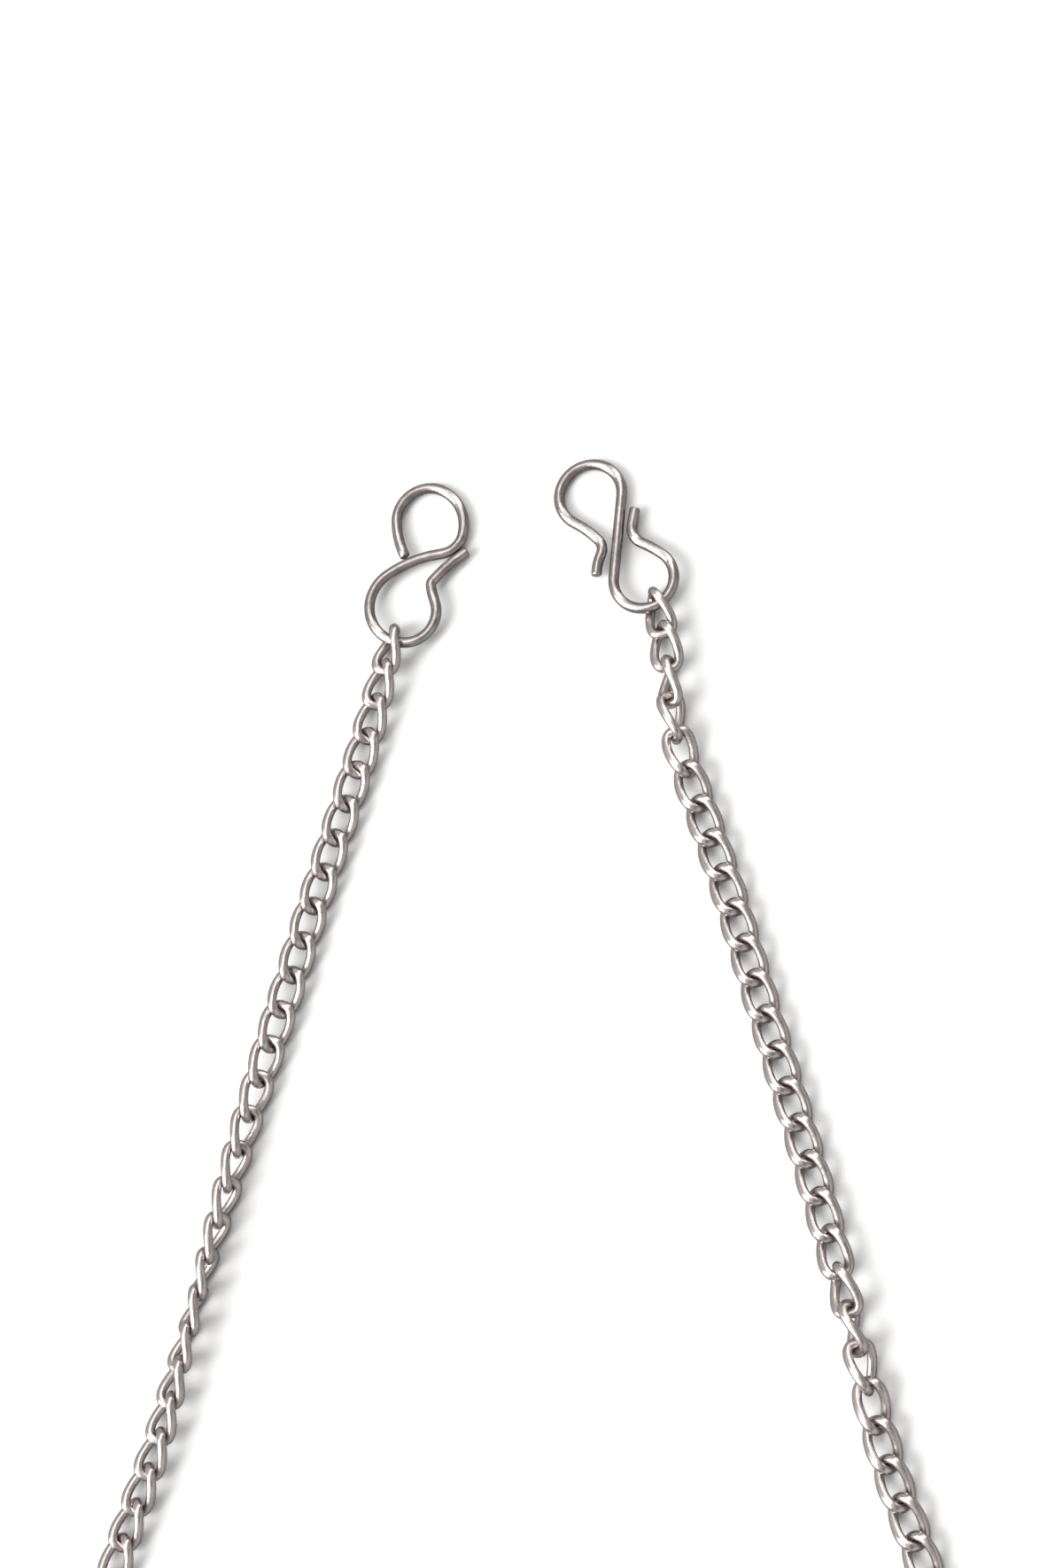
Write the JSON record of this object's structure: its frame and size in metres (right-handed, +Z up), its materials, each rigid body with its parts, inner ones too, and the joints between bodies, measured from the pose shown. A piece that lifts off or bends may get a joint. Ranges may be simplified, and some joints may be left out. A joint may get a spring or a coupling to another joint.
{
  "type": "matha patti head chain",
  "caption": "Single-strand head chain of twisted curb links, open at the back, with a bent-wire S hook at each end that catches in the hair.",
  "frame": {"origin": "on the table under the middle of the chain's bounding box, as the chain lies", "axes": "+Z up from the table; +Y along the length of the laid-out chain, from the round of the chain towards the two hooks; +X to the right seen from above with the hooks at the top"},
  "size_m": [0.0966, 0.1878, 0.0039],
  "materials": {
    "grey_metal": "plated white metal, drawn wire with a soft shine and a grey-brown tone in the hollows"
  },
  "bodies": {
    "root": {"chain_left": "grey_metal", "chain_right": "grey_metal", "hook_left": "grey_metal", "hook_right": "grey_metal"}
  },
  "joints": []
}
